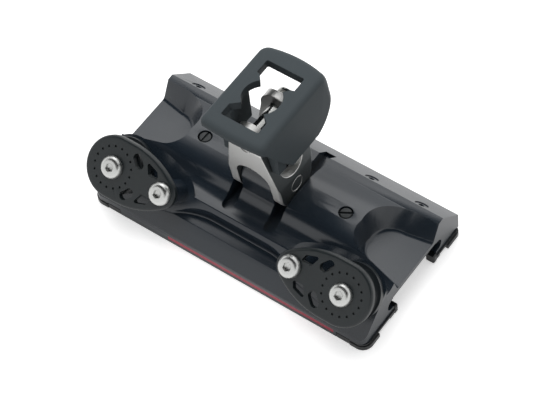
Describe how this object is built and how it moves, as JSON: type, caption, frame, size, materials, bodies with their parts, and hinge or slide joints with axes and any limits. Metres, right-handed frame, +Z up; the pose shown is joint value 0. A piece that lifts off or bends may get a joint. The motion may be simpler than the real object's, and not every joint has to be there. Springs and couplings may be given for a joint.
{
  "type": "mainsheet traveller car",
  "caption": "Sailing traveller car that rolls along a track on balls, with an angled control sheave at each end and a stand-up toggle under a moulded hood",
  "frame": {"origin": "middle of the length, on the centreline of the track, on the plane the legs stand on", "axes": "+X along the track, -Y the side with the stripe and the control sheaves, +Z up"},
  "size_m": [0.236, 0.1262, 0.1345],
  "materials": {
    "black_anodised": "satin black hard anodising",
    "red_film": "printed red film",
    "black_plastic": "moulded black acetal",
    "pale_plastic": "polished high-load plastic balls",
    "sheave_anodised": "turned and black anodised",
    "stainless": "turned stainless steel",
    "plate_anodised": "blasted and black anodised",
    "dark_steel": "blackened stainless steel",
    "polished_stainless": "mirror polished stainless steel",
    "moulded_black": "satin black moulding"
  },
  "bodies": {
    "car": {"car_body": "black_anodised", "red_stripe": "red_film", "return_cap_near_left": "black_plastic", "return_cap_near_right": "black_plastic", "return_cap_far_left": "black_plastic", "return_cap_far_right": "black_plastic", "ball_row_near": "pale_plastic", "ball_row_far": "pale_plastic", "axle_bush_left": "stainless", "axle_bush_right": "stainless", "sideplate_left": "plate_anodised", "sideplate_right": "plate_anodised", "sheave_screws": "stainless", "post_screws": "stainless", "slotted_plugs": "dark_steel", "strip_screws": "dark_steel"},
    "toggle": {"toggle_fork": "polished_stainless", "pivot_pin": "stainless", "clevis_pin": "polished_stainless", "toggle_hood": "moulded_black"},
    "wheel_left": {"sheave_left": "sheave_anodised"},
    "wheel_right": {"sheave_right": "sheave_anodised"}
  },
  "joints": [
    {"name": "toggle_pivot", "type": "hinge", "parent": "car", "child": "toggle", "pos_m": [0, -0.0015, 0.053], "axis": [1, 0, 0], "range_deg": [-45, 45]},
    {"name": "sheave_left_spin", "type": "hinge", "parent": "car", "child": "wheel_left", "pos_m": [-0.0957, -0.04, 0.032], "axis": [0, -0.7071, 0.7071], "continuous": true},
    {"name": "sheave_right_spin", "type": "hinge", "parent": "car", "child": "wheel_right", "pos_m": [0.0957, -0.04, 0.032], "axis": [0, -0.7071, 0.7071], "continuous": true}
  ]
}
